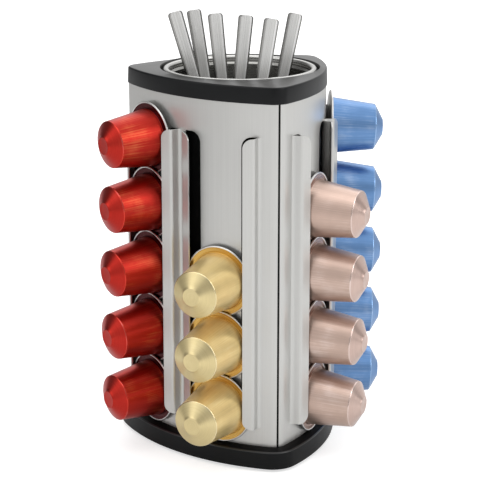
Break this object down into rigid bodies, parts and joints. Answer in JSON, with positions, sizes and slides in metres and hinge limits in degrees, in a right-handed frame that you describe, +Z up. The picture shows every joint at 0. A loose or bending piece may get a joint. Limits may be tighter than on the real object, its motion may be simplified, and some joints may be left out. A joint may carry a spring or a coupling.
{
  "type": "coffee capsule holder",
  "caption": "Three-sided steel tower on a turntable: bowed panels with lanced rails that hold coffee capsules by their flanges, and a steel cup in the top for spoons.",
  "frame": {"origin": "on the tower's axis, on the underside of the grip pad, where the holder stands", "axes": "+Z up along the turntable's axis, -Y out of the front panel"},
  "size_m": [0.1354, 0.1382, 0.2264],
  "materials": {
    "panel_steel": "satin, brushed upright",
    "cup_steel": "satin",
    "spoon_steel": "satin",
    "black_plastic": "satin black",
    "inner_black": "black",
    "rubber": "matte",
    "white_glide": "smooth",
    "zinc": "zinc plated",
    "foil": "smooth foil",
    "capsule_red": "satin anodised",
    "capsule_gold": "satin anodised",
    "capsule_rose": "satin anodised",
    "capsule_blue": "satin anodised"
  },
  "bodies": {
    "foot": {"turntable_foot": "inner_black", "grip_pad": "rubber", "glide_ring": "white_glide", "pivot_washer": "zinc", "pivot_screw": "zinc"},
    "tower": {"base": "black_plastic", "top_rim": "black_plastic", "well_tube": "inner_black", "panel_front": "panel_steel", "panel_right": "panel_steel", "panel_back": "panel_steel", "post_front_right": "inner_black", "post_back": "inner_black", "post_front_left": "inner_black", "base_screws": "zinc"},
    "cup": {"spoon_cup": "cup_steel"},
    "spoon_1": {"spoon_1": "spoon_steel"},
    "spoon_2": {"spoon_2": "spoon_steel"},
    "spoon_3": {"spoon_3": "spoon_steel"},
    "spoon_4": {"spoon_4": "spoon_steel"},
    "spoon_5": {"spoon_5": "spoon_steel"},
    "spoon_6": {"spoon_6": "spoon_steel"},
    "capsule_red_1": {"capsule_red_1": "capsule_red", "lid_red_1": "foil"},
    "capsule_red_2": {"capsule_red_2": "capsule_red", "lid_red_2": "foil"},
    "capsule_red_3": {"capsule_red_3": "capsule_red", "lid_red_3": "foil"},
    "capsule_red_4": {"capsule_red_4": "capsule_red", "lid_red_4": "foil"},
    "capsule_red_5": {"capsule_red_5": "capsule_red", "lid_red_5": "foil"},
    "capsule_gold_1": {"capsule_gold_1": "capsule_gold", "lid_gold_1": "foil"},
    "capsule_gold_2": {"capsule_gold_2": "capsule_gold", "lid_gold_2": "foil"},
    "capsule_gold_3": {"capsule_gold_3": "capsule_gold", "lid_gold_3": "foil"},
    "capsule_rose_1": {"capsule_rose_1": "capsule_rose", "lid_rose_1": "foil"},
    "capsule_rose_2": {"capsule_rose_2": "capsule_rose", "lid_rose_2": "foil"},
    "capsule_rose_3": {"capsule_rose_3": "capsule_rose", "lid_rose_3": "foil"},
    "capsule_rose_4": {"capsule_rose_4": "capsule_rose", "lid_rose_4": "foil"},
    "capsule_blue_1": {"capsule_blue_1": "capsule_blue", "lid_blue_1": "foil"},
    "capsule_blue_2": {"capsule_blue_2": "capsule_blue", "lid_blue_2": "foil"},
    "capsule_blue_3": {"capsule_blue_3": "capsule_blue", "lid_blue_3": "foil"},
    "capsule_blue_4": {"capsule_blue_4": "capsule_blue", "lid_blue_4": "foil"},
    "capsule_blue_5": {"capsule_blue_5": "capsule_blue", "lid_blue_5": "foil"}
  },
  "joints": [
    {"name": "turntable", "type": "hinge", "parent": "foot", "child": "tower", "pos_m": [0, 0, 0], "axis": [0, 0, 1], "continuous": true},
    {"name": "cup_lift", "type": "slide", "parent": "tower", "child": "cup", "axis": [0, 0, 1], "range_m": [0, 0.105]},
    {"name": "spoon_1_lift", "type": "slide", "parent": "cup", "child": "spoon_1", "axis": [-0.2055, -0.1786, 0.9622], "range_m": [0, 0.108]},
    {"name": "spoon_2_lift", "type": "slide", "parent": "cup", "child": "spoon_2", "axis": [-0.1181, -0.1026, 0.9877], "range_m": [0, 0.108]},
    {"name": "spoon_3_lift", "type": "slide", "parent": "cup", "child": "spoon_3", "axis": [-0.075, -0.0652, 0.9951], "range_m": [0, 0.108]},
    {"name": "spoon_4_lift", "type": "slide", "parent": "cup", "child": "spoon_4", "axis": [0.0723, 0.0629, 0.9954], "range_m": [0, 0.108]},
    {"name": "spoon_5_lift", "type": "slide", "parent": "cup", "child": "spoon_5", "axis": [0.1116, 0.097, 0.989], "range_m": [0, 0.108]},
    {"name": "spoon_6_lift", "type": "slide", "parent": "cup", "child": "spoon_6", "axis": [0.1453, 0.1263, 0.9813], "range_m": [0, 0.108]},
    {"name": "capsule_red_1_slide", "type": "slide", "parent": "tower", "child": "capsule_red_1", "axis": [0, 0, 1], "range_m": [0, 0.1625]},
    {"name": "capsule_red_2_slide", "type": "slide", "parent": "capsule_red_1", "child": "capsule_red_2", "axis": [0, 0, 1], "range_m": [0, 0.1289]},
    {"name": "capsule_red_3_slide", "type": "slide", "parent": "capsule_red_2", "child": "capsule_red_3", "axis": [0, 0, 1], "range_m": [0, 0.0953]},
    {"name": "capsule_red_4_slide", "type": "slide", "parent": "capsule_red_3", "child": "capsule_red_4", "axis": [0, 0, 1], "range_m": [0, 0.0616]},
    {"name": "capsule_red_5_slide", "type": "slide", "parent": "capsule_red_4", "child": "capsule_red_5", "axis": [0, 0, 1], "range_m": [0, 0.028]},
    {"name": "capsule_gold_1_slide", "type": "slide", "parent": "tower", "child": "capsule_gold_1", "axis": [0, 0, 1], "range_m": [0, 0.1625]},
    {"name": "capsule_gold_2_slide", "type": "slide", "parent": "capsule_gold_1", "child": "capsule_gold_2", "axis": [0, 0, 1], "range_m": [0, 0.1289]},
    {"name": "capsule_gold_3_slide", "type": "slide", "parent": "capsule_gold_2", "child": "capsule_gold_3", "axis": [0, 0, 1], "range_m": [0, 0.0953]},
    {"name": "capsule_rose_1_slide", "type": "slide", "parent": "tower", "child": "capsule_rose_1", "axis": [0, 0, 1], "range_m": [0, 0.1625]},
    {"name": "capsule_rose_2_slide", "type": "slide", "parent": "capsule_rose_1", "child": "capsule_rose_2", "axis": [0, 0, 1], "range_m": [0, 0.1289]},
    {"name": "capsule_rose_3_slide", "type": "slide", "parent": "capsule_rose_2", "child": "capsule_rose_3", "axis": [0, 0, 1], "range_m": [0, 0.0953]},
    {"name": "capsule_rose_4_slide", "type": "slide", "parent": "capsule_rose_3", "child": "capsule_rose_4", "axis": [0, 0, 1], "range_m": [0, 0.0616]},
    {"name": "capsule_blue_1_slide", "type": "slide", "parent": "tower", "child": "capsule_blue_1", "axis": [0, 0, 1], "range_m": [0, 0.1625]},
    {"name": "capsule_blue_2_slide", "type": "slide", "parent": "capsule_blue_1", "child": "capsule_blue_2", "axis": [0, 0, 1], "range_m": [0, 0.1289]},
    {"name": "capsule_blue_3_slide", "type": "slide", "parent": "capsule_blue_2", "child": "capsule_blue_3", "axis": [0, 0, 1], "range_m": [0, 0.0953]},
    {"name": "capsule_blue_4_slide", "type": "slide", "parent": "capsule_blue_3", "child": "capsule_blue_4", "axis": [0, 0, 1], "range_m": [0, 0.0616]},
    {"name": "capsule_blue_5_slide", "type": "slide", "parent": "capsule_blue_4", "child": "capsule_blue_5", "axis": [0, 0, 1], "range_m": [0, 0.028]}
  ]
}
